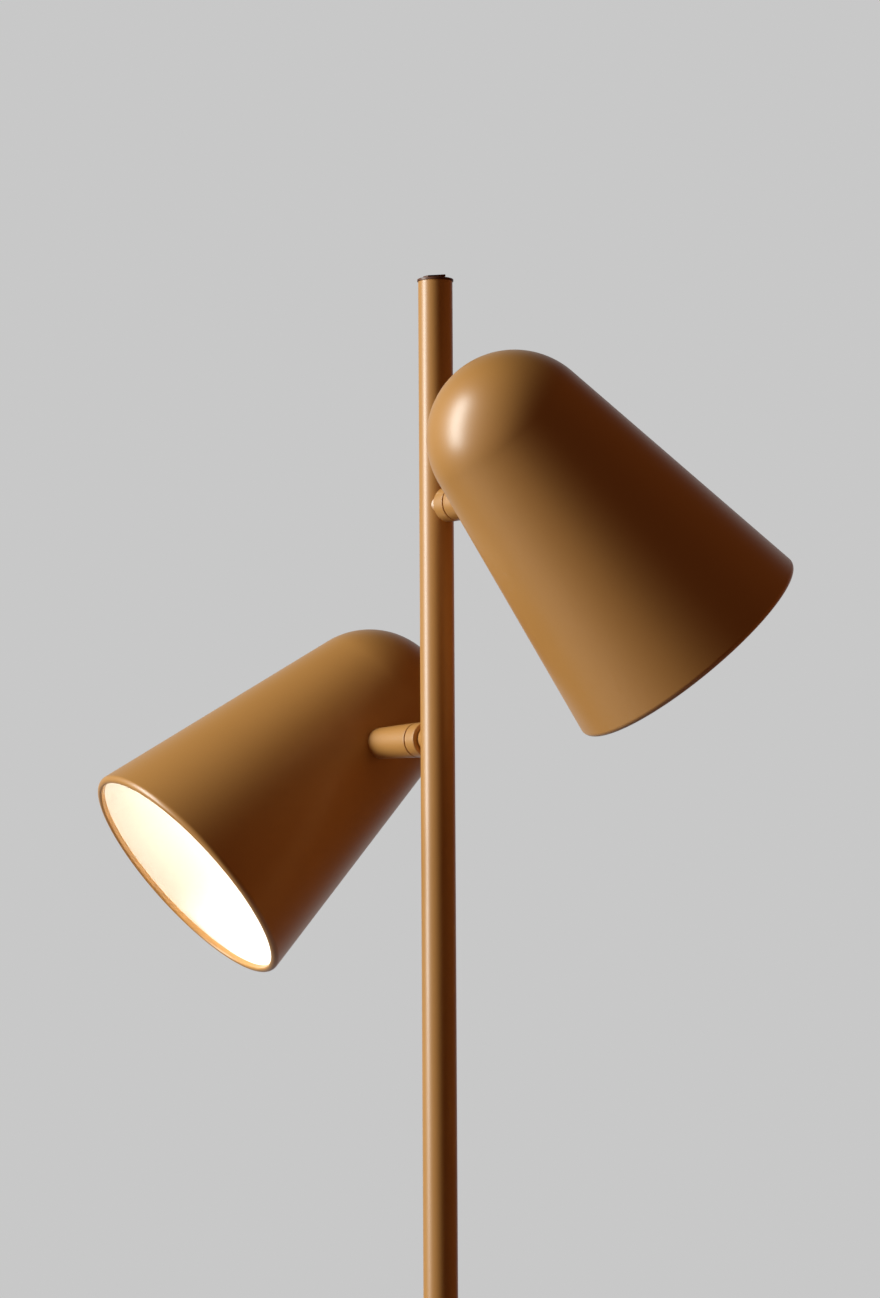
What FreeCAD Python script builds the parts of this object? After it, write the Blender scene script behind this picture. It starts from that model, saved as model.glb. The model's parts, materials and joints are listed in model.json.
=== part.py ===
import FreeCAD, Part
import math
import os
import re
import Sketcher

# A free-standing pole lamp with two tilting spot heads, in millimetres.
# +Z is up and the origin is the middle of the base's underside. The upper head's arm points to +X,
# the lower head's to -X, and the lead leaves the base towards +Y.

Vector = FreeCAD.Vector
least_cut = 1e-6    # cubic millimetres that every cut has to take away

sizes = {
    # general fits
    "fit_clearance": 0.05,          # radial play of a pin or thread in its hole
    "running_gap": 0.1,             # axial play between faces that turn on each other
    "cut_overrun": 1.0,             # how far a cutting shape stands past what it cuts
    # base
    "base_diameter": 250.0,
    "base_height": 24.0,
    "cover_thickness": 1.2,
    "cover_edge_radius": 6.0,
    "cover_lift": 1.2,              # cover's lower rim above the floor
    "pad_thickness": 3.0,
    "pad_inset": 7.0,
    "weight_gap": 0.5,
    "pocket_radius": 26.0,
    "pocket_roof": 5.3,             # iron left above the pocket
    "stud_diameter": 10.0,
    "stud_bore": 6.4,
    "stud_rise": 20.0,
    "stud_tail": 0.3,
    "base_washer_diameter": 28.0,
    "base_washer_thickness": 1.6,
    "base_nut_flats": 17.0,
    "base_nut_thickness": 4.0,
    "gland_flange_diameter": 10.0,
    "gland_neck_diameter": 7.0,
    "gland_inner_lip": 1.6,
    "gland_nose": 3.0,
    "gland_shoulder": 1.5,          # straight part of the nose
    "gland_nose_taper": 1.2,
    "gland_slack": 0.15,
    "gland_seat_gap": 0.05,
    "channel_play": 0.3,            # channel in the weight wider than the gland that fills its end
    # pole
    "pole_diameter": 18.0,
    "pole_wall": 1.5,
    "lower_pole_length": 700.0,
    "upper_pole_length": 774.0,
    "foot_insert_length": 22.0,
    "joint_sleeve_length": 24.0,
    "joint_thread_diameter": 12.0,
    "joint_thread_length": 18.0,
    "joint_spare_depth": 2.0,
    # leads
    "main_lead_diameter": 4.8,
    "main_lead_bend": 5.2,
    "head_lead_diameter": 4.4,
    "head_lead_bend": 9.0,
    "head_lead_rise": 48.0,         # height of the straight stretch through the bracket
    "core_diameter": 2.2,
    "core_offset": 5.7,
    "core_groove": 2.8,
    "connector_length": 30.0,
    "connector_drop": 30.0,         # connector's top below the lower arm
    "connector_gap": 0.7,
    # switch in the top of the pole
    "flange_diameter": 19.0,
    "flange_thickness": 1.2,
    "flange_edge": 0.4,
    "switch_depth": 16.0,
    "rocker_length": 11.5,
    "rocker_root_length": 9.0,
    "rocker_width": 4.6,
    "rocker_side_gap": 0.3,
    "rocker_end_gap": 0.8,
    "rocker_angle": 8.0,            # half of the rocker's travel
    "rocker_pivot_depth": 2.7,      # pivot below the top of the flange
    "rocker_keel": 4.0,
    "rocker_overhang_lift": 0.9,
    "rocker_crown": 2.15,           # its flat top above the flange, when level
    "rocker_edge": 0.5,
    "trunnion_diameter": 1.8,
    "trunnion_reach": 1.3,
    "blade_width": 4.8,
    "blade_thickness": 0.8,
    "blade_length": 7.0,
    # arms: fixed half of each knuckle
    "upper_arm_drop": 118.2,        # arm's axis below the top of the pole
    "lower_arm_drop": 239.6,
    "arm_diameter": 18.3,
    "arm_end_diameter": 16.4,
    "arm_length": 51.9,             # pole's axis to the outside of the shade
    "hub_gap": 0.4,                 # hub's rear face clear of the pole
    "hub_length": 7.9,
    "hub_rear_edge": 0.8,
    "edge_chamfer": 0.5,
    "groove_width": 0.7,
    "ring_length": 2.2,
    "seam_edge": 0.15,
    "saddle_root": 3.0,
    "saddle_diameter": 15.4,
    "saddle_top_diameter": 12.8,
    "pivot_diameter": 8.0,
    "pivot_bore": 5.4,
    "pivot_start": 3.0,
    "pivot_spare": 0.6,
    "block_height": 22.0,
    "block_way_diameter": 5.4,
    "stop_pin_diameter": 1.6,
    "stop_pin_circle": 14.0,
    "stop_pin_depth": 4.0,
    "stop_angle": 135.0,            # travel each way from hanging straight down
    "slot_play": 0.25,
    "friction_washer_diameter": 11.0,
    # arms: turning half
    "front_wall": 3.0,
    "arm_bore": 13.4,
    "spring_diameter": 12.0,
    "spring_thickness": 0.5,
    "spring_rise": 0.6,
    "pivot_nut_diameter": 12.4,
    "pivot_nut_thickness": 3.6,
    "nut_slot_count": 4,
    "nut_slot_width": 1.6,
    "nut_slot_depth": 1.2,
    "nut_slot_floor": 4.1,          # distance from the axis
    "arm_stud_diameter": 10.0,
    "arm_stud_bore": 6.0,
    "arm_stud_collar": 10.0,
    "arm_stud_setback": 0.6,
    "arm_stud_spare": 1.5,
    "seat_washer_diameter": 20.0,
    "seat_washer_thickness": 2.5,
    "arm_nut_flats": 14.0,
    "arm_nut_thickness": 4.0,
    # heads
    "upper_tilt": 41.7,             # from hanging straight down
    "lower_tilt": 48.8,
    "cope_gap": 0.05,               # between the cone's wall and what is coped to it
    "mouth_diameter": 137.4,
    "shade_length": 184.5,
    "shade_angle": 9.7,             # between the cone's wall and its axis
    "shade_wall": 1.0,
    "arm_entry": 118.5,             # arm's axis above the near rim, along the wall
    "lip_radius": 2.6,
    "lip_width": 4.2,
    "lip_height": 3.4,
    "reflector_wall": 0.8,
    "reflector_gap": 0.25,
    "reflector_depth": 96.0,
    "reflector_hole_gap": 0.6,
    "bracket_thickness": 1.5,
    "bracket_width": 14.0,
    "bracket_foot": 9.0,
    "bracket_reach": 8.5,
    "lead_hole_gap": 0.5,
    "holder_front": 86.0,           # distances from the mouth, along the shade's axis
    "holder_shoulder": 97.0,
    "holder_rear": 135.0,
    "skirt_diameter": 25.0,
    "holder_diameter": 28.0,
    "holder_bore": 14.6,
    "nipple_diameter": 10.0,
    "nipple_bore": 6.0,
    "nipple_length": 12.0,
    "nipple_depth": 5.0,
    "nipple_lead_entry": 6.0,
    "holder_nut_flats": 14.0,
    "holder_nut_thickness": 4.0,
    "bulb_gap": 1.0,
    "cap_diameter": 13.8,
    "cap_thread_length": 17.0,
    "cap_length": 24.0,
    "cap_shoulder_length": 4.0,
    "contact_diameter": 5.0,
    "collar_top_diameter": 17.0,
    "collar_diameter": 38.0,
    "collar_length": 17.0,
    "globe_diameter": 45.0,
    "globe_wall": 1.2,
}

derived = {
    "base_radius": "base_diameter / 2",
    "cover_underside": "base_height - cover_thickness",
    "pocket_ceiling": "cover_underside - pocket_roof",
    "washer_bottom": "pocket_ceiling - base_washer_thickness",
    "nut_bottom": "washer_bottom - base_nut_thickness",
    "stud_bottom": "nut_bottom - stud_tail",
    "lead_level": "stud_bottom - main_lead_bend",
    "pole_radius": "pole_diameter / 2",
    "tube_radius": "pole_radius - pole_wall",
    "insert_radius": "tube_radius - fit_clearance",
    "joint_level": "base_height + lower_pole_length",
    "pole_top": "joint_level + upper_pole_length",
    "flange_top": "pole_top + flange_thickness",
    "upper_arm_level": "pole_top - upper_arm_drop",
    "lower_arm_level": "pole_top - lower_arm_drop",
    "connector_top": "lower_arm_level - connector_drop",
    "terminal_bottom": "pole_top - switch_depth - blade_length",
    "rocker_pivot_level": "flange_top - rocker_pivot_depth",
    "arm_radius": "arm_diameter / 2",
    "pivot_radius": "pivot_diameter / 2",
    "pivot_hole": "pivot_radius + fit_clearance",
    "hub_rear": "pole_radius + hub_gap",
    "hub_front": "hub_rear + hub_length",
    "ring_rear": "hub_front + groove_width",
    "ring_front": "ring_rear + ring_length",
    "shoulder": "ring_front + front_wall",
    "spring_rear": "shoulder + running_gap",
    "pivot_nut_rear": "spring_rear + spring_thickness + spring_rise",
    "pivot_nut_front": "pivot_nut_rear + pivot_nut_thickness",
    "pivot_end": "pivot_nut_front + pivot_spare",
    "mouth_radius": "mouth_diameter / 2",
    "mouth_x": "arm_length + mouth_radius * cos(shade_angle)",
    "mouth_z": "mouth_radius * sin(shade_angle) - arm_entry",
    "entry_station": "-mouth_z / cos(shade_angle)",
    "dome_taper": "(mouth_radius - shade_length * tan(shade_angle)) * cos(shade_angle)",
    "dome_radius": "dome_taper / (1 - sin(shade_angle))",
    "dome_station": "shade_length - dome_radius",
    "inner_dome_radius": "dome_radius - shade_wall",
    "inner_mouth_radius": "mouth_radius - shade_wall / cos(shade_angle)",
    "lip_centre": "mouth_radius - lip_radius * (tan(shade_angle) + 1 / cos(shade_angle))",
    "lip_bore": "mouth_radius - lip_width",
    "lip_inner_radius": "lip_centre - lip_bore",
    "reflector_mouth": "mouth_radius - (shade_wall + reflector_gap) / cos(shade_angle)",
    "reflector_inner_mouth": "reflector_mouth - reflector_wall / cos(shade_angle)",
    "bracket_face": "arm_length + shade_wall + seat_washer_thickness",
    "arm_nut_rear": "bracket_face + bracket_thickness",
    "arm_stud_end": "arm_nut_rear + arm_nut_thickness + arm_stud_spare",
    "arm_stud_shoulder": "arm_length - arm_stud_setback",
    "arm_stud_hole": "arm_stud_diameter / 2 + fit_clearance",
    "bulb_seat": "holder_front - bulb_gap",
    "holder_floor": "bulb_seat + cap_length",
    "globe_joint": "bulb_seat - collar_length",
    "globe_radius": "globe_diameter / 2",
    "globe_drop": "sqrt(globe_radius^2 - (collar_diameter / 2)^2)",
    "globe_station": "globe_joint - globe_drop",
    "lead_up_x": "arm_stud_end + head_lead_bend",
    "loop_span": "mouth_x - lead_up_x - tan(shade_angle) * (head_lead_rise - mouth_z)",
    "loop_radius": "loop_span / (1 + 1 / cos(shade_angle))",
}


def cells(text):
    # an expression with each size's name led by the sheet that holds it
    def full_name(match):
        word = match.group()
        if word in sizes:
            return "Sizes." + word
        if word in derived:
            return "Derived." + word
        return word
    return re.sub(r"[a-z][a-z_]*", full_name, text)


def number(text):
    return float(sheet.evalExpression(cells(text)))


def fill_sheet(name, table):
    new_sheet = doc.addObject("Spreadsheet::Sheet", name)
    for row, (alias, value) in enumerate(table.items(), 1):
        new_sheet.set(f"A{row}", alias)
        new_sheet.set(f"B{row}", value)
        new_sheet.setAlias(f"B{row}", alias)
    return new_sheet


def new_body(name, frame=None):
    body = doc.addObject("PartDesign::Body", name)
    body.Label = name
    if frame:
        body.setExpression("Placement", cells(frame))
    nodes.append(body)
    return body


def new_sketch(body, plane, offset=None):
    sketch = body.newObject("Sketcher::SketchObject", "Sketch")
    origin_plane = next(item for item in body.Origin.OriginFeatures if item.Role == plane)
    sketch.AttachmentSupport = [(origin_plane, "")]
    sketch.MapMode = "FlatFace"
    if offset:
        sketch.setExpression("AttachmentOffset", cells(offset))
    return sketch


def bind(sketch, constraint, text):
    index = sketch.addConstraint(constraint)
    sketch.setExpression(f"Constraints[{index}]", cells(text))


def fix_point(sketch, edge, end, across, up):
    bind(sketch, Sketcher.Constraint("DistanceX", -1, 1, edge, end, number(across)), across)
    bind(sketch, Sketcher.Constraint("DistanceY", -1, 1, edge, end, number(up)), up)


def add_edge(sketch, start, end, bend):
    # a straight edge, or an arc of under half a circle that turns left or right on its way;
    # returns the edge with the positions of its start and its end
    if not bend:
        return sketch.addGeometry(Part.LineSegment(start, end), False), 1, 2
    radius = number(bend[0])
    way = end - start
    side = Vector(-way.y, way.x, 0).normalize()
    if bend[1] == "right":
        side = side * -1
    rise = math.sqrt(max(radius ** 2 - way.Length ** 2 / 4, 0))
    centre = start + way * 0.5 + side * rise
    first, last = (start, end) if bend[1] == "left" else (end, start)
    angles = [math.atan2(point.y - centre.y, point.x - centre.x) for point in (first, last)]
    circle = Part.Circle(centre, Vector(0, 0, 1), radius)
    edge = sketch.addGeometry(Part.ArcOfCircle(circle, angles[0], angles[1]), False)
    bind(sketch, Sketcher.Constraint("Radius", edge, radius), bend[0])
    return (edge, 1, 2) if bend[1] == "left" else (edge, 2, 1)


def draw(sketch, corners, closed=True):
    # corners are (across, up), or (across, up, radius, turn) where an arc leaves the corner
    points = [Vector(number(corner[0]), number(corner[1]), 0) for corner in corners]
    ends = points[1:] + points[:1] if closed else points[1:]
    edges = [add_edge(sketch, start, end, corner[2:]) for start, end, corner in zip(points, ends, corners)]
    followers = edges[1:] + edges[:1] if closed else edges[1:]
    for (edge, _, end), (after, start, _) in zip(edges, followers):
        sketch.addConstraint(Sketcher.Constraint("Coincident", edge, end, after, start))
    for (edge, start, _), corner in zip(edges, corners):
        fix_point(sketch, edge, start, corner[0], corner[1])
    if not closed:
        fix_point(sketch, edges[-1][0], edges[-1][2], corners[-1][0], corners[-1][1])


def draw_circle(sketch, radius, across="0", up="0"):
    centre = Vector(number(across), number(up), 0)
    edge = sketch.addGeometry(Part.Circle(centre, Vector(0, 0, 1), number(radius)), False)
    fix_point(sketch, edge, 3, across, up)
    bind(sketch, Sketcher.Constraint("Radius", edge, number(radius)), radius)


def box_corners(left, bottom, right, top):
    return [(left, bottom), (right, bottom), (right, top), (left, top)]


def hexagon(flats):
    corner_radius = f"{flats} / 2 / cos(30)"
    turns = range(0, 360, 60)
    return [(f"{corner_radius} * cos({turn})", f"{corner_radius} * sin({turn})") for turn in turns]


def add_feature(body, kind, sketch, removes):
    before = body.Shape.Volume if removes else 0
    feature = body.newObject(kind, kind.split("::")[1])
    feature.Profile = sketch
    return feature, before


def finish_feature(body, before, removes):
    doc.recompute()
    if removes and body.Shape.Volume > before - least_cut:
        raise RuntimeError(f"a cut in {body.Label} removes nothing")


def revolve(body, corners, axis, plane="XZ_Plane", offset=None, removes=False):
    sketch = new_sketch(body, plane, offset)
    draw(sketch, corners)
    kind = "PartDesign::Groove" if removes else "PartDesign::Revolution"
    feature, before = add_feature(body, kind, sketch, removes)
    feature.ReferenceAxis = (sketch, [axis])
    feature.Angle = 360
    finish_feature(body, before, removes)


def extrude(body, sketch, length, removes=False, symmetric=False, reverse=False):
    kind = "PartDesign::Pocket" if removes else "PartDesign::Pad"
    feature, before = add_feature(body, kind, sketch, removes)
    if symmetric:
        feature.SideType = "Symmetric"
    feature.Reversed = reverse
    feature.setExpression("Length", cells(length))
    finish_feature(body, before, removes)
    return feature


def turned(name, corners, axis, frame=None, plane="XZ_Plane", offset=None):
    body = new_body(name, frame)
    revolve(body, corners, axis, plane, offset)
    return body


def hex_nut(name, flats, bore, thickness, frame, plane, offset):
    body = new_body(name, frame)
    sketch = new_sketch(body, plane, offset)
    draw(sketch, hexagon(flats))
    draw_circle(sketch, bore)
    extrude(body, sketch, thickness)


def sweep(name, radius, profile_plane, profile_offset, path_plane, path, frame=None):
    # a round lead along one sketch of straight runs and tangent arcs
    body = new_body(name, frame)
    spine = new_sketch(body, path_plane)
    draw(spine, path, closed=False)
    profile = new_sketch(body, profile_plane, profile_offset)
    draw_circle(profile, radius)
    pipe = body.newObject("PartDesign::AdditivePipe", "Pipe")
    pipe.Profile = profile
    pipe.Spine = (spine, [f"Edge{place + 1}" for place in range(len(path) - 1)])
    doc.recompute()
    section = math.pi * number(radius) ** 2
    length = sum(edge.Length for edge in spine.Shape.Edges)
    share = body.Shape.Volume / (section * length)
    print(f"{name}: {length:.1f} mm long, volume {share:.4f} of section x length")


def group(name, members):
    # like pieces that share one node
    joined = doc.addObject("Part::Compound", name)
    joined.Label = name
    joined.Links = members
    for member in members:
        if member in nodes:
            nodes.remove(member)
    nodes.append(joined)


# ---- base

def make_base():
    pad_edge = "base_radius - pad_inset"
    turned("base_pad", box_corners("0", "0", pad_edge, "pad_thickness"), "V_Axis")

    stud_hole = "stud_diameter / 2 + fit_clearance"
    weight_edge = "base_radius - cover_thickness - weight_gap"
    weight_round = "cover_edge_radius - cover_thickness - weight_gap"
    weight = turned("base_weight", [
        (stud_hole, "pocket_ceiling"),
        ("pocket_radius", "pocket_ceiling"),
        ("pocket_radius", "pad_thickness"),
        (weight_edge, "pad_thickness"),
        (weight_edge, f"cover_underside - ({weight_round})", weight_round, "left"),
        (f"{weight_edge} - ({weight_round})", "cover_underside"),
        (stud_hole, "cover_underside"),
    ], "V_Axis")
    channel = new_sketch(weight, "XZ_Plane")
    half_width = "gland_flange_diameter / 2 + channel_play"
    draw(channel, box_corners(f"-({half_width})", "0", half_width, f"lead_level + {half_width}"))
    extrude(weight, channel, "base_radius", removes=True)

    edge_start = "base_radius - cover_edge_radius"
    cover = turned("base_cover", [
        ("base_radius - cover_thickness", "cover_lift"),
        ("base_radius", "cover_lift"),
        ("base_radius", "base_height - cover_edge_radius", "cover_edge_radius", "left"),
        (edge_start, "base_height"),
        (stud_hole, "base_height"),
        (stud_hole, "cover_underside"),
        (edge_start, "cover_underside", "cover_edge_radius - cover_thickness", "right"),
        ("base_radius - cover_thickness", "base_height - cover_edge_radius"),
    ], "V_Axis")
    gland_hole = new_sketch(cover, "XZ_Plane")
    draw_circle(gland_hole, "gland_neck_diameter / 2 + fit_clearance", "0", "lead_level")
    extrude(cover, gland_hole, "base_radius + gland_nose", removes=True)

    gland_bore = "main_lead_diameter / 2 + fit_clearance"
    inner_face = "base_radius - cover_thickness - gland_slack"
    outer_face = "base_radius + gland_seat_gap"
    turned("cord_gland", [
        (f"{inner_face} - gland_inner_lip", gland_bore),
        (f"{outer_face} + gland_nose", gland_bore),
        (f"{outer_face} + gland_nose", "gland_flange_diameter / 2 - gland_nose_taper"),
        (f"{outer_face} + gland_shoulder", "gland_flange_diameter / 2"),
        (outer_face, "gland_flange_diameter / 2"),
        (outer_face, "gland_neck_diameter / 2"),
        (inner_face, "gland_neck_diameter / 2"),
        (inner_face, "gland_flange_diameter / 2"),
        (f"{inner_face} - gland_inner_lip", "gland_flange_diameter / 2"),
    ], "H_Axis", plane="YZ_Plane", offset="placement(vector(0; lead_level; 0); rotationz(0))")

    stud_top = "base_height + stud_rise"
    turned("base_stud", box_corners("stud_bore / 2", "stud_bottom", "stud_diameter / 2", stud_top), "V_Axis")
    washer_edge = "base_washer_diameter / 2"
    turned("base_washer", box_corners(stud_hole, "washer_bottom", washer_edge, "pocket_ceiling"), "V_Axis")
    hex_nut("base_nut", "base_nut_flats", stud_hole, "base_nut_thickness", None, "XY_Plane",
            "placement(vector(0; 0; nut_bottom); rotationz(0))")


# ---- pole

def make_pole():
    stud_hole = "stud_diameter / 2 + fit_clearance"
    insert_top = "base_height + foot_insert_length"
    turned("foot_insert", box_corners(stud_hole, "base_height", "insert_radius", insert_top), "V_Axis")
    turned("lower_pole", box_corners("tube_radius", "base_height", "pole_radius", "joint_level"), "V_Axis")
    turned("pole_connector", [
        ("stud_bore / 2", "joint_level - joint_sleeve_length"),
        ("insert_radius", "joint_level - joint_sleeve_length"),
        ("insert_radius", "joint_level"),
        ("joint_thread_diameter / 2", "joint_level"),
        ("joint_thread_diameter / 2", "joint_level + joint_thread_length"),
        ("stud_bore / 2", "joint_level + joint_thread_length"),
    ], "V_Axis")
    thread_hole = "joint_thread_diameter / 2 + fit_clearance"
    insert_end = "joint_level + joint_thread_length + joint_spare_depth"
    turned("pole_thread_insert",
           box_corners(thread_hole, "joint_level", "insert_radius", insert_end), "V_Axis")

    upper = turned("upper_pole",
                   box_corners("tube_radius", "joint_level", "pole_radius", "pole_top"), "V_Axis")
    for level, towards_x in (("upper_arm_level", True), ("lower_arm_level", False)):
        hole = new_sketch(upper, "YZ_Plane")
        draw_circle(hole, "pivot_hole", "0", level)
        extrude(upper, hole, "pole_diameter", removes=True, reverse=towards_x)


# ---- leads inside the pole

def make_leads():
    sweep("main_lead", "main_lead_diameter / 2",
          "XY_Plane", "placement(vector(0; 0; connector_top - connector_length); rotationz(0))",
          "YZ_Plane", [
              ("0", "connector_top - connector_length"),
              ("0", "stud_bottom", "main_lead_bend", "left"),
              ("main_lead_bend", "lead_level"),
              ("base_radius + gland_shoulder", "lead_level"),
          ])
    turned("connector_block", box_corners("0", "connector_top - connector_length",
                                          "tube_radius - connector_gap", "connector_top"), "V_Axis")
    cores = []
    for name, side in (("front_core", "-"), ("rear_core", "")):
        core = doc.addObject("Part::Cylinder", name)
        core.setExpression("Radius", cells("core_diameter / 2"))
        core.setExpression("Height", cells("terminal_bottom - connector_top"))
        core.setExpression("Placement.Base.y", cells(f"{side}core_offset"))
        core.setExpression("Placement.Base.z", cells("connector_top"))
        cores.append(core)
    group("pole_leads", cores)


# ---- switch in the top of the pole

def make_switch():
    housing = turned("switch_housing", [
        ("0", "pole_top - switch_depth"),
        ("insert_radius", "pole_top - switch_depth"),
        ("insert_radius", "pole_top"),
        ("flange_diameter / 2", "pole_top"),
        ("flange_diameter / 2", "flange_top - flange_edge", "flange_edge", "left"),
        ("flange_diameter / 2 - flange_edge", "flange_top"),
        ("0", "flange_top"),
    ], "V_Axis")
    slot_end = "rocker_root_length / 2 + rocker_end_gap"
    slot_side = "rocker_width / 2 + rocker_side_gap"
    slot = new_sketch(housing, "XY_Plane", "placement(vector(0; 0; flange_top); rotationz(0))")
    draw(slot, box_corners(f"-({slot_side})", f"-({slot_end})", slot_side, slot_end))
    extrude(housing, slot, "rocker_pivot_depth + rocker_keel + rocker_end_gap", removes=True)
    bearing = new_sketch(housing, "YZ_Plane")
    draw_circle(bearing, "trunnion_diameter / 2 + fit_clearance", "0", "rocker_pivot_level")
    bearing_length = "rocker_width + 2 * (trunnion_reach + rocker_side_gap)"
    extrude(housing, bearing, bearing_length, removes=True, symmetric=True)

    # the rocker turns about X, and at rest its +Y end is up
    rocker_frame = "placement(vector(0; 0; rocker_pivot_level); rotationx(rocker_angle))"
    rocker = new_body("switch_rocker", rocker_frame)
    root, end = "rocker_root_length / 2", "rocker_length / 2"
    underside = "rocker_pivot_depth + rocker_overhang_lift"
    crown = "rocker_pivot_depth + rocker_crown"
    side_view = new_sketch(rocker, "YZ_Plane")
    draw(side_view, [
        (f"-{root}", "-rocker_keel"),
        (root, "-rocker_keel"),
        (root, underside),
        (f"{end} - rocker_edge", underside, "rocker_edge", "left"),
        (end, f"{underside} + rocker_edge"),
        (end, crown),
        (f"-{end}", crown),
        (f"-{end}", f"{underside} + rocker_edge", "rocker_edge", "left"),
        (f"-({end} - rocker_edge)", underside),
        (f"-{root}", underside),
    ])
    extrude(rocker, side_view, "rocker_width", symmetric=True)
    trunnions = new_sketch(rocker, "YZ_Plane")
    draw_circle(trunnions, "trunnion_diameter / 2")
    extrude(rocker, trunnions, "rocker_width + 2 * trunnion_reach", symmetric=True)

    blades = []
    for name, side in (("front_blade", "-"), ("rear_blade", "")):
        blade = doc.addObject("Part::Box", name)
        blade.setExpression("Length", cells("blade_width"))
        blade.setExpression("Width", cells("blade_thickness"))
        blade.setExpression("Height", cells("blade_length"))
        blade.setExpression("Placement.Base.x", cells("-blade_width / 2"))
        blade.setExpression("Placement.Base.y", cells(f"{side}core_offset - blade_thickness / 2"))
        blade.setExpression("Placement.Base.z", cells("terminal_bottom"))
        blades.append(blade)
    group("switch_terminals", blades)


# ---- fixed half of a knuckle, with its axis on the body's own X axis

def make_fixed_knuckle(side, frame):
    block_corners = box_corners("0", "-block_height / 2", "insert_radius", "block_height / 2")
    block = turned(f"{side}_arm_block", block_corners, "V_Axis", frame)
    revolve(block, box_corners("0", "0", "insert_radius + pole_wall", "pivot_hole"), "H_Axis", removes=True)
    ways = new_sketch(block, "XY_Plane")
    draw_circle(ways, "block_way_diameter / 2")
    draw_circle(ways, "core_groove / 2", "0", "core_offset")
    draw_circle(ways, "core_groove / 2", "0", "-core_offset")
    extrude(block, ways, "block_height + 2 * cut_overrun", removes=True, symmetric=True)

    # the saddle is turned, then scooped out to the pole's own radius
    saddle = turned(f"{side}_saddle_washer", [
        ("saddle_root", "pivot_hole"),
        ("hub_rear", "pivot_hole"),
        ("hub_rear", "saddle_top_diameter / 2"),
        ("saddle_root", "saddle_diameter / 2"),
    ], "H_Axis", frame)
    scoop = box_corners("0", "-saddle_diameter", "pole_radius", "saddle_diameter")
    revolve(saddle, scoop, "V_Axis", removes=True)

    hub = turned(f"{side}_knuckle_hub", [
        ("hub_rear", "pivot_hole"),
        ("hub_front", "pivot_hole"),
        ("hub_front", "arm_radius - edge_chamfer"),
        ("hub_front - edge_chamfer", "arm_radius"),
        ("hub_rear + hub_rear_edge", "arm_radius", "hub_rear_edge", "left"),
        ("hub_rear", "arm_radius - hub_rear_edge"),
    ], "H_Axis", frame)
    pin_hole = new_sketch(hub, "YZ_Plane", "placement(vector(0; 0; hub_front); rotationz(0))")
    draw_circle(pin_hole, "stop_pin_diameter / 2 + fit_clearance", "0", "-stop_pin_circle / 2")
    extrude(hub, pin_hole, "stop_pin_depth", removes=True)

    turned(f"{side}_hollow_pivot", box_corners("pivot_start", "pivot_bore / 2", "pivot_end", "pivot_radius"),
           "H_Axis", frame)

    stop_pin = new_body(f"{side}_stop_pin", frame)
    pin_start = "placement(vector(0; 0; hub_front - stop_pin_depth); rotationz(0))"
    pin_end = new_sketch(stop_pin, "YZ_Plane", pin_start)
    draw_circle(pin_end, "stop_pin_diameter / 2", "0", "-stop_pin_circle / 2")
    extrude(stop_pin, pin_end, "stop_pin_depth + groove_width + ring_length - slot_play")

    washer_corners = box_corners("hub_front", "pivot_hole", "ring_rear - running_gap",
                                 "friction_washer_diameter / 2")
    friction_washer = turned(f"{side}_friction_washer", washer_corners, "H_Axis", frame)

    spring_washer = turned(f"{side}_spring_washer", [
        ("spring_rear", "spring_diameter / 2"),
        ("spring_rear + spring_rise", "pivot_hole"),
        ("pivot_nut_rear", "pivot_hole"),
        ("spring_rear + spring_thickness", "spring_diameter / 2"),
    ], "H_Axis", frame)

    pivot_nut = turned(f"{side}_pivot_nut", box_corners("pivot_nut_rear", "pivot_hole", "pivot_nut_front",
                                                       "pivot_nut_diameter / 2"), "H_Axis", frame)
    slot = new_sketch(pivot_nut, "YZ_Plane", "placement(vector(0; 0; pivot_nut_front); rotationz(0))")
    draw(slot, box_corners("-nut_slot_width / 2", "nut_slot_floor", "nut_slot_width / 2",
                           "pivot_nut_diameter"))
    cut = extrude(pivot_nut, slot, "nut_slot_depth", removes=True)
    ring_of_slots = pivot_nut.newObject("PartDesign::PolarPattern", "Slots")
    ring_of_slots.Originals = [cut]
    nut_axis = next(item for item in pivot_nut.Origin.OriginFeatures if item.Role == "X_Axis")
    ring_of_slots.Axis = (nut_axis, [""])
    ring_of_slots.Angle = 360
    ring_of_slots.Occurrences = sizes["nut_slot_count"]
    pivot_nut.Tip = ring_of_slots
    return stop_pin, friction_washer, spring_washer, pivot_nut


# ---- head: turning half of the knuckle, shade, reflector, lampholder and bulb
# Its pieces are drawn hanging straight down, with the arm on the body's X axis. The shade's own sketches
# stand at the mouth's centre and lean by the cone's angle, so that the near wall is square to the arm.

shade_offset = "placement(vector(mouth_x; mouth_z; 0); rotationz(shade_angle))"


def across_shade(station):
    # a plane square to the shade's axis, so far from the mouth
    return ("placement(vector(mouth_x; 0; mouth_z); rotationy(-shade_angle))"
            f" * placement(vector(0; 0; {station}); rotationz(0))")


def wall_at(mouth, station):
    # radius of a cone that is parallel to the shade's wall
    return f"{mouth} - ({station}) * tan(shade_angle)"


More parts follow.
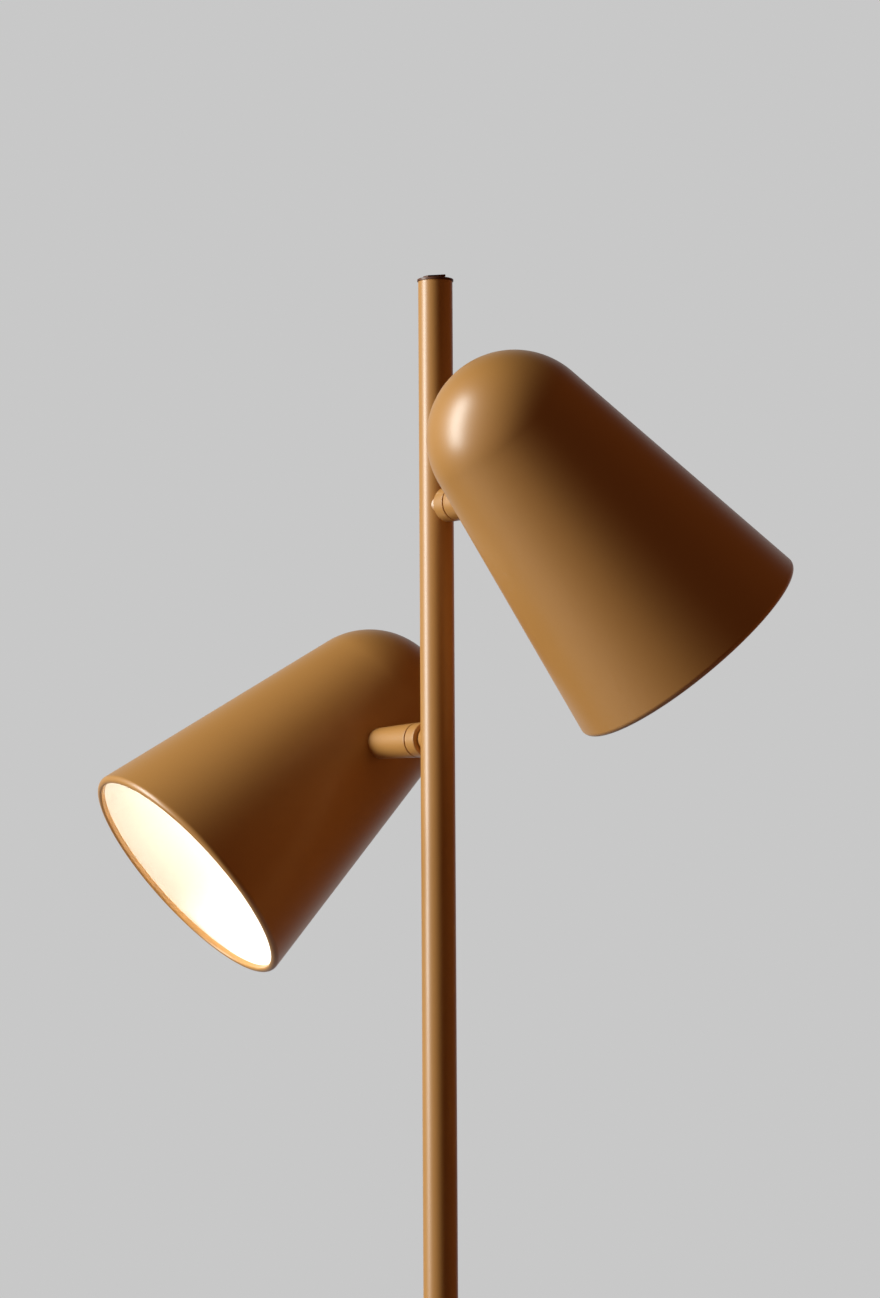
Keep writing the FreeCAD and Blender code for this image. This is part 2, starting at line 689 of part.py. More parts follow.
def make_swivel(side, frame):
    ring = turned(f"{side}_swivel_ring", [
        ("ring_rear", "pivot_hole"),
        ("ring_front", "pivot_hole"),
        ("ring_front", "arm_radius - seam_edge"),
        ("ring_front - seam_edge", "arm_radius"),
        ("ring_rear + edge_chamfer", "arm_radius"),
        ("ring_rear", "arm_radius - edge_chamfer"),
    ], "H_Axis", frame)
    # the stop pin runs in an arc about the bottom of the ring
    play = "(stop_pin_diameter / 2 + slot_play)"
    inner, outer = f"(stop_pin_circle / 2 - {play})", f"(stop_pin_circle / 2 + {play})"
    half_arc = f"(stop_angle + {play} / (stop_pin_circle / 2) * 180 / pi)"
    far, down = (f"sin({half_arc})", f"-cos({half_arc})"), "-1"
    slot = new_sketch(ring, "YZ_Plane")
    draw(slot, [
        (f"-{outer} * {far[0]}", f"{outer} * {far[1]}", outer, "left"),
        ("0", f"{outer} * {down}", outer, "left"),
        (f"{outer} * {far[0]}", f"{outer} * {far[1]}"),
        (f"{inner} * {far[0]}", f"{inner} * {far[1]}", inner, "right"),
        ("0", f"{inner} * {down}", inner, "right"),
        (f"-{inner} * {far[0]}", f"{inner} * {far[1]}"),
    ])
    extrude(ring, slot, "ring_front + ring_length", removes=True, reverse=True)

    arm = turned(f"{side}_swivel_arm", [
        ("ring_front", "pivot_hole"),
        ("shoulder", "pivot_hole"),
        ("shoulder", "arm_bore / 2"),
        ("arm_length + shade_wall", "arm_bore / 2"),
        ("arm_length + shade_wall", "arm_end_diameter / 2"),
        ("ring_front + seam_edge", "arm_radius"),
        ("ring_front", "arm_radius - seam_edge"),
    ], "H_Axis", frame)
    # the arm's end is coped to the outside of the cone
    low, high = "entry_station - arm_diameter", "entry_station + arm_diameter"
    outside = "mouth_radius + cope_gap"
    revolve(arm, [
        ("0", low),
        (wall_at(outside, low), low),
        (wall_at(outside, high), high),
        ("0", high),
    ], "V_Axis", offset=shade_offset, removes=True)

    turned(f"{side}_arm_stud", [
        ("arm_stud_shoulder - arm_stud_collar", "arm_stud_bore / 2"),
        ("arm_stud_end", "arm_stud_bore / 2"),
        ("arm_stud_end", "arm_stud_diameter / 2"),
        ("arm_stud_shoulder", "arm_stud_diameter / 2"),
        ("arm_stud_shoulder", "arm_bore / 2 - fit_clearance"),
        ("arm_stud_shoulder - arm_stud_collar", "arm_bore / 2 - fit_clearance"),
    ], "H_Axis", frame)

    # a washer that is flat inside and follows the inside of the cone outside
    seat = turned(f"{side}_seat_washer", box_corners("arm_length", "arm_stud_hole", "bracket_face",
                                                     "seat_washer_diameter / 2"), "H_Axis", frame)
    inside = "inner_mouth_radius - cope_gap"
    revolve(seat, [
        (wall_at(inside, low), low),
        ("mouth_radius", low),
        ("mouth_radius", high),
        (wall_at(inside, high), high),
    ], "V_Axis", offset=shade_offset, removes=True)
    hex_nut(f"{side}_arm_nut", "arm_nut_flats", "arm_stud_hole", "arm_nut_thickness", frame,
            "YZ_Plane", "placement(vector(0; 0; arm_nut_rear); rotationz(0))")


def make_shade(side, frame):
    cosine, sine = "cos(shade_angle)", "sin(shade_angle)"
    shade = turned(f"{side}_shade", [
        ("lip_centre", "0", "lip_radius", "left"),
        (f"lip_centre + lip_radius * {cosine}", f"lip_radius * (1 + {sine})"),
        (f"dome_radius * {cosine}", f"dome_station + dome_radius * {sine}", "dome_radius", "left"),
        ("0", "shade_length"),
        ("0", "shade_length - shade_wall", "inner_dome_radius", "right"),
        (f"inner_dome_radius * {cosine}", f"dome_station + inner_dome_radius * {sine}"),
        (wall_at("inner_mouth_radius", "lip_height"), "lip_height"),
        ("lip_bore", "lip_height"),
        ("lip_bore", "lip_inner_radius", "lip_inner_radius", "left"),
    ], "V_Axis", frame, offset=shade_offset)
    arm_hole = box_corners("arm_length - shade_wall", "0", "bracket_face", "arm_stud_hole")
    revolve(shade, arm_hole, "H_Axis", removes=True)

    # the white inner cone stands on the rolled lip and closes round the lampholder
    roof_hole = "skirt_diameter / 2 + reflector_hole_gap"
    roof_underside = "reflector_depth - reflector_wall"
    turned(f"{side}_reflector", [
        (wall_at("reflector_inner_mouth", "lip_height"), "lip_height"),
        (wall_at("reflector_mouth", "lip_height"), "lip_height"),
        (wall_at("reflector_mouth", "reflector_depth"), "reflector_depth"),
        (roof_hole, "reflector_depth"),
        (roof_hole, roof_underside),
        (wall_at("reflector_inner_mouth", roof_underside), roof_underside),
    ], "V_Axis", frame, offset=shade_offset)


def make_lampholder(side, frame):
    def on_holder(station, reach):
        # a point of the arm's own frame, given along and across the shade's axis
        return (f"mouth_x - ({station}) * sin(shade_angle) + {reach} * cos(shade_angle)",
                f"mouth_z + ({station}) * cos(shade_angle) + {reach} * sin(shade_angle)")

    def above_wall(across, station):
        # height at which the leg's face meets the plane of the cross leg
        shift = f"({across} - mouth_x + ({station}) * sin(shade_angle)) * tan(shade_angle)"
        return f"mouth_z + ({station}) * cos(shade_angle) + {shift}"

    strip_top = "holder_rear + bracket_thickness"
    bracket = new_body(f"{side}_holder_bracket", frame)
    strip = new_sketch(bracket, "XZ_Plane")
    draw(strip, [
        ("bracket_face", "-bracket_foot"),
        ("arm_nut_rear", "-bracket_foot"),
        ("arm_nut_rear", above_wall("arm_nut_rear", "holder_rear")),
        on_holder("holder_rear", "bracket_reach"),
        on_holder(strip_top, "bracket_reach"),
        ("bracket_face", above_wall("bracket_face", strip_top)),
    ])
    extrude(bracket, strip, "bracket_width", symmetric=True)
    stud_hole = box_corners("bracket_face - cut_overrun", "0", "arm_nut_rear + cut_overrun", "arm_stud_hole")
    revolve(bracket, stud_hole, "H_Axis", removes=True)
    nipple_hole = box_corners("0", "holder_rear - cut_overrun", "nipple_diameter / 2 + fit_clearance",
                              f"{strip_top} + cut_overrun")
    revolve(bracket, nipple_hole, "V_Axis", offset=shade_offset, removes=True)
    lead_hole = new_sketch(bracket, "XY_Plane", "placement(vector(0; 0; head_lead_bend); rotationz(0))")
    draw_circle(lead_hole, "head_lead_diameter / 2 + lead_hole_gap", "lead_up_x", "0")
    extrude(bracket, lead_hole, "head_lead_rise", removes=True, reverse=True)

    turned(f"{side}_lampholder", [
        ("0", "holder_floor"),
        ("holder_bore / 2", "holder_floor"),
        ("holder_bore / 2", "holder_front"),
        ("skirt_diameter / 2", "holder_front"),
        ("skirt_diameter / 2", "holder_shoulder"),
        ("holder_diameter / 2", "holder_shoulder"),
        ("holder_diameter / 2", "holder_rear"),
        ("nipple_diameter / 2", "holder_rear"),
        ("nipple_diameter / 2", "holder_rear + nipple_length"),
        ("nipple_bore / 2", "holder_rear + nipple_length"),
        ("nipple_bore / 2", "holder_rear - nipple_depth"),
        ("0", "holder_rear - nipple_depth"),
    ], "V_Axis", frame, offset=shade_offset)
    hex_nut(f"{side}_holder_nut", "holder_nut_flats", "nipple_diameter / 2 + fit_clearance",
            "holder_nut_thickness", frame, "XY_Plane", across_shade(strip_top))

    lead_end = "holder_rear + nipple_length - nipple_lead_entry"
    loop_end_x = "lead_up_x + loop_radius * (1 + cos(shade_angle))"
    sweep(f"{side}_head_lead", "head_lead_diameter / 2", "YZ_Plane", None, "XZ_Plane", [
        ("0", "0"),
        ("arm_stud_end", "0", "head_lead_bend", "left"),
        ("lead_up_x", "head_lead_bend"),
        ("lead_up_x", "head_lead_rise", "loop_radius", "right"),
        (loop_end_x, "head_lead_rise + loop_radius * sin(shade_angle)"),
        on_holder(lead_end, "0"),
    ], frame)


def make_bulb(side, frame):
    cap, contact = "cap_diameter / 2", "contact_diameter / 2"
    thread_end = "bulb_seat + cap_thread_length"
    turned(f"{side}_bulb_cap", [
        ("0", "bulb_seat"),
        (cap, "bulb_seat"),
        (cap, thread_end),
        (contact, f"{thread_end} + cap_shoulder_length"),
        (contact, "holder_floor"),
        ("0", "holder_floor"),
    ], "V_Axis", frame, offset=shade_offset)
    turned(f"{side}_bulb_collar", [
        ("0", "globe_joint"),
        ("collar_diameter / 2", "globe_joint"),
        ("collar_top_diameter / 2", "bulb_seat"),
        ("0", "bulb_seat"),
    ], "V_Axis", frame, offset=shade_offset)
    inner = "globe_radius - globe_wall"
    turned(f"{side}_bulb_globe", [
        ("0", "globe_station - globe_radius", "globe_radius", "left"),
        ("collar_diameter / 2", "globe_joint"),
        (f"sqrt(({inner})^2 - globe_drop^2)", "globe_joint", inner, "right"),
        ("0", "globe_station - globe_radius + globe_wall"),
    ], "V_Axis", frame, offset=shade_offset)


# ---- the whole lamp

os.makedirs("parts", exist_ok=True)
doc = FreeCAD.newDocument("PoleLamp")
nodes = []
sheet = fill_sheet("Sizes", {alias: str(value) for alias, value in sizes.items()})
fill_sheet("Derived", {alias: "=" + cells(text) for alias, text in derived.items()})
doc.recompute()

make_base()
make_pole()
make_leads()
make_switch()

fasteners = []
for side, way in (("upper", "0"), ("lower", "180")):
    fixed_frame = f"placement(vector(0; 0; {side}_arm_level); rotationz({way}))"
    head_frame = f"placement(vector(0; 0; {side}_arm_level); rotationz({way}) * rotationx({side}_tilt))"
    fasteners.append(make_fixed_knuckle(side, fixed_frame))
    make_swivel(side, head_frame)
    make_shade(side, head_frame)
    make_lampholder(side, head_frame)
    make_bulb(side, head_frame)
for name, pair in zip(("stop_pins", "friction_washers", "spring_washers", "pivot_nuts"), zip(*fasteners)):
    group(name, list(pair))
doc.recompute()

for item in doc.Objects:
    if "Invalid" in item.State or "Error" in item.State:
        raise RuntimeError(f"{item.Label} failed: {item.State}")
for node in nodes:
    if node.Shape.isNull() or not node.Shape.isValid():
        raise RuntimeError(f"{node.Label} has no valid shape")
for node in nodes:
    node.Shape.exportStep(os.path.join("parts", node.Label + ".step"))
print(len(nodes), "nodes")
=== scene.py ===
import json
import math

import bmesh
import bpy
from mathutils import Matrix, Vector


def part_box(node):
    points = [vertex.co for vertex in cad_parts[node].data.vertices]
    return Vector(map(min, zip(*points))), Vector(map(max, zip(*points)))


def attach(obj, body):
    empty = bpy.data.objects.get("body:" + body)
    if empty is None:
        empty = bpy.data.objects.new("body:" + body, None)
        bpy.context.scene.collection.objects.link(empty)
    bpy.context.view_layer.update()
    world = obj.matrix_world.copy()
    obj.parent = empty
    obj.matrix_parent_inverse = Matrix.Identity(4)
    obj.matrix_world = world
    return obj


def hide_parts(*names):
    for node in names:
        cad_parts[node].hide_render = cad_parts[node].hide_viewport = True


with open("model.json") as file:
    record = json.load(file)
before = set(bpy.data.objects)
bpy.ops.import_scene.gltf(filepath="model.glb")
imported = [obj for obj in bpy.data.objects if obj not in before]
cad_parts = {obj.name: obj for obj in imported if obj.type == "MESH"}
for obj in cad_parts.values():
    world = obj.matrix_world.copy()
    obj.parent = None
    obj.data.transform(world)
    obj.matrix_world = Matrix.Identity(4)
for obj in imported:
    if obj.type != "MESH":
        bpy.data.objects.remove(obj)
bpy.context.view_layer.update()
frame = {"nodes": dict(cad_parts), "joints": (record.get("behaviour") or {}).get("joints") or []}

# Looks of a free-standing pole lamp with two tilting spot heads. Sizes are in millimetres and angles in
# degrees, as in the CAD; each piece is drawn about its own axis and then set in its place in metres.

millimetre = 0.001


# ---- node trees

class Wire:
    # a node's output that takes Python's arithmetic and adds the Math nodes for it
    def __init__(self, tree, socket=None):
        self.tree = tree
        self.socket = socket

    def node(self, kind, settings=None, inputs=None, output=0):
        made = self.tree.nodes.new(kind)
        for name, value in (settings or {}).items():
            setattr(made, name, value)
        for name, value in (inputs or {}).items():
            if isinstance(value, Wire):
                self.tree.links.new(value.socket, made.inputs[name])
            else:
                made.inputs[name].default_value = value
        return Wire(self.tree, made.outputs[output] if made.outputs else None)

    def other(self, output):
        return Wire(self.tree, self.socket.node.outputs[output])

    def maths(self, operation, first, second=0.0):
        return self.node("ShaderNodeMath", {"operation": operation}, {0: first, 1: second})

    def __add__(self, value):
        return self.maths("ADD", self, value)

    def __sub__(self, value):
        return self.maths("SUBTRACT", self, value)

    def __rsub__(self, value):
        return self.maths("SUBTRACT", value, self)

    def __mul__(self, value):
        return self.maths("MULTIPLY", self, value)

    def __truediv__(self, value):
        return self.maths("DIVIDE", self, value)

    def __mod__(self, value):
        return self.maths("FLOORED_MODULO", self, value)

    __radd__ = __add__
    __rmul__ = __mul__


def mixColours(wire, factor, first, second):
    # sockets 6 and 7 of a Mix node are its two colours and output 2 is its colour result
    return wire.node("ShaderNodeMix", {"data_type": "RGBA"}, {0: factor, 6: first, 7: second}, 2)


# ---- finishes

finishes = {
    # colour and shade are mixed by a soft mottle; grain is a fine bump, its height in millimetres
    "mustardLacquer": {
        "slot": "mustard_lacquer", "colour": (0.455, 0.220, 0.054), "shade": (0.435, 0.206, 0.049),
        "mottle": 18.0, "roughness": 0.36, "roughnessSpread": 0.05, "grain": 900.0, "grainHeight": 0.006,
        "specular": 0.55, "coat": 0.35, "coatRoughness": 0.6,
    },
    "darkPlastic": {
        "slot": "dark_plastic", "colour": (0.120, 0.040, 0.016), "shade": (0.100, 0.033, 0.013),
        "mottle": 60.0, "roughness": 0.45, "roughnessSpread": 0.08, "grain": 2600.0, "grainHeight": 0.010,
    },
    "phenolic": {
        "slot": "phenolic", "colour": (0.78, 0.765, 0.72), "shade": (0.74, 0.725, 0.68),
        "mottle": 45.0, "roughness": 0.45, "roughnessSpread": 0.06, "grain": 1800.0, "grainHeight": 0.008,
    },
    "blackFoam": {
        "slot": "black_foam", "colour": (0.016, 0.016, 0.016), "shade": (0.028, 0.028, 0.028),
        "mottle": 500.0, "roughness": 0.92, "roughnessSpread": 0.06, "grain": 1400.0, "grainHeight": 0.16,
    },
    "blackRubber": {
        "slot": "black_rubber", "colour": (0.018, 0.018, 0.018), "shade": (0.027, 0.027, 0.027),
        "mottle": 80.0, "roughness": 0.68, "roughnessSpread": 0.10, "grain": 1500.0, "grainHeight": 0.012,
    },
    "castIron": {
        "slot": "cast_iron", "colour": (0.085, 0.085, 0.09), "shade": (0.055, 0.052, 0.050),
        "mottle": 30.0, "roughness": 0.70, "roughnessSpread": 0.15, "grain": 420.0, "grainHeight": 0.20,
        "metallic": 0.7,
    },
    "zincSteel": {
        "slot": "zinc_steel", "colour": (0.60, 0.60, 0.58), "shade": (0.52, 0.53, 0.50),
        "mottle": 120.0, "roughness": 0.34, "roughnessSpread": 0.10, "grain": 1600.0, "grainHeight": 0.004,
        "metallic": 1.0,
    },
    "turnedBrass": {
        "slot": "brass", "colour": (0.72, 0.50, 0.20), "shade": (0.62, 0.42, 0.15),
        "mottle": 90.0, "roughness": 0.30, "roughnessSpread": 0.08, "grain": 2000.0, "grainHeight": 0.003,
        "metallic": 1.0,
    },
    "capAluminium": {
        "slot": "cap_aluminium", "colour": (0.74, 0.74, 0.74), "shade": (0.66, 0.66, 0.66),
        "mottle": 150.0, "roughness": 0.36, "roughnessSpread": 0.08, "grain": 1800.0, "grainHeight": 0.004,
        "metallic": 1.0,
    },
    "bulbPlastic": {
        "slot": "bulb_plastic", "colour": (0.86, 0.86, 0.84), "shade": (0.82, 0.82, 0.80),
        "mottle": 60.0, "roughness": 0.40, "roughnessSpread": 0.05, "grain": 2200.0, "grainHeight": 0.004,
    },
    "leadSheath": {
        "slot": "lead_sheath", "colour": (0.020, 0.016, 0.013), "shade": (0.030, 0.025, 0.021),
        "mottle": 200.0, "roughness": 0.55, "roughnessSpread": 0.10, "grain": 1500.0, "grainHeight": 0.010,
    },
}
noise = {"mottleDetail": 3.0, "grainDetail": 2.0, "middle": 0.5}


def newTree(name):
    material = bpy.data.materials.new(name)
    material.use_nodes = True
    material.node_tree.nodes.clear()
    return material, Wire(material.node_tree)


def mottledFinish(name, look):
    material, wire = newTree(name)
    place = wire.node("ShaderNodeTexCoord", output="Object")
    mottle = wire.node("ShaderNodeTexNoise", inputs={
        "Vector": place, "Scale": look["mottle"], "Detail": noise["mottleDetail"],
    })
    grain = wire.node("ShaderNodeTexNoise", inputs={
        "Vector": place, "Scale": look["grain"], "Detail": noise["grainDetail"],
    })
    colour = mixColours(wire, mottle, (*look["shade"], 1.0), (*look["colour"], 1.0))
    roughness = look["roughness"] + look["roughnessSpread"] * (mottle - noise["middle"])
    height = look["grainHeight"] * millimetre
    bump = wire.node("ShaderNodeBump", inputs={"Height": grain, "Distance": height})
    shader = wire.node("ShaderNodeBsdfPrincipled", inputs={
        "Base Color": colour, "Roughness": roughness, "Normal": bump,
        "Metallic": look.get("metallic", 0.0), "Specular IOR Level": look.get("specular", 0.5),
        "Coat Weight": look.get("coat", 0.0), "Coat Roughness": look.get("coatRoughness", 0.5),
    })
    wire.node("ShaderNodeOutputMaterial", inputs={"Surface": shader})
    return material


spunWhite = {
    # the reflectors: white lacquer over a spun cone, whose rings follow the piece's own UV map
    "slot": "white_lacquer", "colour": (0.86, 0.845, 0.80), "ringColour": (0.83, 0.81, 0.765),
    "rings": 420.0, "roughness": 0.55, "roughnessSpread": 0.06, "ringHeight": 0.004,
}


def spunFinish(name, look):
    material, wire = newTree(name)
    place = wire.node("ShaderNodeTexCoord", output="UV")
    along = wire.node("ShaderNodeSeparateXYZ", inputs={0: place}).other("Y")
    rings = wire.node("ShaderNodeTexNoise", {"noise_dimensions": "1D"},
                      {"W": along * look["rings"], "Scale": 1.0})
    colour = mixColours(wire, rings, (*look["ringColour"], 1.0), (*look["colour"], 1.0))
    height = look["ringHeight"] * millimetre
    bump = wire.node("ShaderNodeBump", inputs={"Height": rings, "Distance": height})
    shader = wire.node("ShaderNodeBsdfPrincipled", inputs={
        "Base Color": colour, "Roughness": look["roughness"] + look["roughnessSpread"] * rings,
        "Normal": bump,
    })
    wire.node("ShaderNodeOutputMaterial", inputs={"Surface": shader})
    return material


opalBulb = {
    # a lit globe: creamy at its edges, nearly white where it is seen straight on
    "slot": "opal_glass", "colour": (0.90, 0.89, 0.86), "roughness": 0.22, "roughnessSpread": 0.05,
    "edge": (1.0, 0.86, 0.63), "middle": (1.0, 0.92, 0.78), "edgeWidth": 0.35, "strength": 8.0,
    "cloud": 40.0, "cloudShare": 0.2,
}


def opalFinish(name, look):
    material, wire = newTree(name)
    place = wire.node("ShaderNodeTexCoord", output="Object")
    cloud = wire.node("ShaderNodeTexNoise", inputs={
        "Vector": place, "Scale": look["cloud"], "Detail": noise["grainDetail"],
    })
    facing = wire.node("ShaderNodeLayerWeight", inputs={"Blend": look["edgeWidth"]}, output="Facing")
    blend = facing * (1 - look["cloudShare"]) + cloud * look["cloudShare"]
    glow = mixColours(wire, blend, (*look["middle"], 1.0), (*look["edge"], 1.0))
    shader = wire.node("ShaderNodeBsdfPrincipled", inputs={
        "Base Color": (*look["colour"], 1.0), "Emission Color": glow, "Emission Strength": look["strength"],
        "Roughness": look["roughness"] + look["roughnessSpread"] * cloud,
    })
    wire.node("ShaderNodeOutputMaterial", inputs={"Surface": shader})
    return material


materials = {name: mottledFinish(name, look) for name, look in finishes.items()}
materials["spunWhite"] = spunFinish("spunWhite", spunWhite)
materials["opalBulb"] = opalFinish("opalBulb", opalBulb)
slots = {name: look["slot"] for name, look in finishes.items()}
slots.update(spunWhite=spunWhite["slot"], opalBulb=opalBulb["slot"])
print("finishes:", ", ".join(materials))


# ---- turning: a Geometry Nodes tree that spins a profile about its own Z axis

lathe = {"segments": 64, "edgeAngle": 40.0, "mergeDistance": 0.002}


def turningTree():
    tree = bpy.data.node_groups.new("Turning", "GeometryNodeTree")
    for name, kind, way in (("Profile", "Geometry", "INPUT"), ("Segments", "Int", "INPUT"),
                            ("Edge Angle", "Float", "INPUT"), ("Finish", "Material", "INPUT"),
                            ("Turned", "Geometry", "OUTPUT")):
        tree.interface.new_socket(name, in_out=way, socket_type="NodeSocket" + kind)
    wire = Wire(tree)
    given = wire.node("NodeGroupInput")
    segments = given.other("Segments")
    count = wire.node("GeometryNodeAttributeDomainSize", {"component": "MESH"}, {"Geometry": given})
    grid = wire.node("GeometryNodeMeshGrid", inputs={"Vertices X": segments + 1, "Vertices Y": count})
    index = wire.node("GeometryNodeInputIndex")
    step = index % count                                    # which point of the profile
    share = wire.maths("FLOOR", index / count) / segments   # how far round it stands

    def sampled(kind, value):
        return wire.node("GeometryNodeSampleIndex", {"data_type": kind},
                         {"Geometry": given, "Value": value, "Index": step})

    point = sampled("FLOAT_VECTOR", wire.node("GeometryNodeInputPosition"))
    turned = wire.node("ShaderNodeVectorRotate", {"rotation_type": "Z_AXIS"},
                       {"Vector": point, "Angle": share * math.tau})
    shell = wire.node("GeometryNodeSetPosition", inputs={"Geometry": grid, "Position": turned})
    reach = sampled("FLOAT", wire.node("GeometryNodeInputNamedAttribute", {"data_type": "FLOAT"},
                                       {"Name": "reach"}))
    unrolled = wire.node("ShaderNodeCombineXYZ", inputs={"X": share, "Y": reach})
    corners = wire.node("GeometryNodeStoreNamedAttribute", {"data_type": "FLOAT2", "domain": "CORNER"},
                        {"Geometry": shell, "Name": "UVMap", "Value": unrolled})
    joined = wire.node("GeometryNodeMergeByDistance", inputs={
        "Geometry": corners, "Distance": lathe["mergeDistance"],
    })
    smooth = wire.node("GeometryNodeSetShadeSmooth", {"domain": "FACE"}, {"Geometry": joined})
    angle = wire.node("GeometryNodeInputMeshEdgeAngle", output="Unsigned Angle")
    sharp = wire.node("FunctionNodeCompare", {"data_type": "FLOAT", "operation": "GREATER_THAN"},
                      {0: angle, 1: given.other("Edge Angle")})
    creased = wire.node("GeometryNodeSetShadeSmooth", {"domain": "EDGE"},
                        {"Geometry": smooth, "Selection": sharp, "Shade Smooth": False})
    real = wire.node("GeometryNodeRealizeInstances", inputs={"Geometry": creased})
    finished = wire.node("GeometryNodeSetMaterial", inputs={
        "Geometry": real, "Material": given.other("Finish"),
    })
    wire.node("NodeGroupOutput", inputs={"Turned": finished})
    return tree


turning = turningTree()


def newObject(name, mesh):
    made = bpy.data.objects.new(name, mesh)
    bpy.context.scene.collection.objects.link(made)
    return made


def applyModifiers(piece):
    # the evaluated mesh becomes the piece's own
    depsgraph = bpy.context.evaluated_depsgraph_get()
    mesh = bpy.data.meshes.new_from_object(
        piece.evaluated_get(depsgraph), preserve_all_data_layers=True, depsgraph=depsgraph)
    piece.modifiers.clear()
    piece.data = mesh


def arc(centre, radius, start, end, steps):
    # points (radius, height) of an arc, from one angle to the other
    angles = [math.radians(start + (end - start) * step / steps) for step in range(steps + 1)]
    return [(centre[0] + radius * math.cos(angle), centre[1] + radius * math.sin(angle))
            for angle in angles]


def rounded(corners, steps=5):
    # corners (radius, height) or (radius, height, rounding); a rounding turns the corner into a small arc
    points = []
    for place, corner in enumerate(corners):
        if len(corner) == 2 or place in (0, len(corners) - 1):
            points.append(corner[:2])
            continue
        here = Vector(corner[:2])
        back = (Vector(corners[place - 1][:2]) - here).normalized()
        on = (Vector(corners[place + 1][:2]) - here).normalized()
        half = back.angle(on) / 2
        centre = here + (back + on).normalized() * (corner[2] / math.sin(half))
        cut = corner[2] / math.tan(half)
        first, last = here + back * cut, here + on * cut
        spread = (first - centre).angle_signed(last - centre)
        for step in range(steps + 1):
            turn = -spread * step / steps
            spoke = first - centre
            points.append((centre.x + spoke.x * math.cos(turn) - spoke.y * math.sin(turn),
                           centre.y + spoke.x * math.sin(turn) + spoke.y * math.cos(turn)))
    return points


def dressed(piece, body, finish, *nodes):
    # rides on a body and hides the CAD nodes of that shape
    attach(piece, body)
    if nodes:
        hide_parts(*nodes)
    return piece


def turnedPiece(name, profile, place, finish, segments=lathe["segments"]):
    # profile points run along one side of the wall; place is a matrix in metres
    mesh = bpy.data.meshes.new(name + "Profile")
    mesh.from_pydata([(point[0], 0.0, point[1]) for point in profile],
                     [(step, step + 1) for step in range(len(profile) - 1)], [])
    reach, travelled = mesh.attributes.new("reach", "FLOAT", "POINT"), 0.0
    for step, point in enumerate(profile):
        if step:
            travelled += math.dist(point, profile[step - 1]) * millimetre
        reach.data[step].value = travelled
    piece = newObject(name, mesh)
    modifier = piece.modifiers.new("Turning", "NODES")
    modifier.node_group = turning
    inputs = {item.name: item.identifier for item in turning.interface.items_tree
              if item.in_out == "INPUT"}
    modifier[inputs["Segments"]] = segments
    modifier[inputs["Edge Angle"]] = math.radians(lathe["edgeAngle"])
    modifier[inputs["Finish"]] = materials[finish]
    applyModifiers(piece)
    shell = bmesh.new()
    shell.from_mesh(piece.data)
    bmesh.ops.recalc_face_normals(shell, faces=shell.faces)
    shell.to_mesh(piece.data)
    shell.free()
    piece.data.transform(place @ Matrix.Scale(millimetre, 4))
    return piece


def evenNormals(piece):
    weighted = piece.modifiers.new("Normals", "WEIGHTED_NORMAL")
    weighted.keep_sharp = True
    return piece


def at(x=0.0, y=0.0, z=0.0):
    return Matrix.Translation((x, y, z))


def turnedAbout(axis, degrees):
    return Matrix.Rotation(math.radians(degrees), 4, axis)


alongX = turnedAbout("Y", 90.0)
alongY = turnedAbout("X", -90.0)


# ---- stand: base, pole and gland

base = {
    "radius": 125.0, "height": 24.0, "edgeRadius": 6.0, "wall": 1.2, "lift": 1.2, "rimRound": 0.35,
    "stud": 5.05, "rings": (80.0, 30.0), "edgeSteps": 16, "innerSteps": 12, "segments": 160,
    "padRadius": 118.0, "padHeight": 3.0, "padRound": 0.8, "padTopRound": 0.3, "padSegments": 128,
}


def makeBase():
    radius, height, wall = base["radius"], base["height"], base["wall"]
    inner, turn = radius - wall, radius - base["edgeRadius"]
    level = height - base["edgeRadius"]
    profile = rounded([(inner, level), (inner, base["lift"], base["rimRound"]),
                       (radius, base["lift"], base["rimRound"]), (radius, level)])
    profile += arc((turn, level), base["edgeRadius"], 0.0, 90.0, base["edgeSteps"])
    profile += [(ring, height) for ring in (*base["rings"], base["stud"])]
    profile += [(base["stud"], height - wall)]
    profile += arc((turn, level), base["edgeRadius"] - wall, 90.0, 0.0, base["innerSteps"])
    cover = turnedPiece("baseCover", profile, at(), "mustardLacquer", base["segments"])
    dressed(evenNormals(cover), "stand", "mustardLacquer", "base_cover")

    edge, top = base["padRadius"], base["padHeight"]
    profile = rounded([(0.0, 0.0), (edge, 0.0, base["padRound"]),
                       (edge, top, base["padTopRound"]), (0.0, top)])
    pad = turnedPiece("basePad", profile, at(), "blackFoam", base["padSegments"])
    dressed(evenNormals(pad), "stand", "blackFoam", "base_pad")
    return [cover, pad]


pole = {"radius": 9.0, "bore": 7.5, "edge": 0.25, "edgeSteps": 3, "stretches": 5, "segments": 96}


def makePole():
    radius, bore, edge, stretches = pole["radius"], pole["bore"], pole["edge"], pole["stretches"]
    tubes = []
    for name, node in (("poleLower", "lower_pole"), ("poleUpper", "upper_pole")):
        low, high = (corner.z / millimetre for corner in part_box(node))
        ring = [(bore, (low + high) / 2), (bore, low, edge), (radius, low, edge)]
        ring += [(radius, low + (high - low) * step / stretches) for step in range(1, stretches)]
        ring += [(radius, high, edge), (bore, high, edge), ring[0]]
        profile = rounded(ring, pole["edgeSteps"])
        tube = turnedPiece(name, profile, at(), "mustardLacquer", pole["segments"])
        tubes.append(dressed(evenNormals(tube), "stand", "mustardLacquer", node))
    return tubes


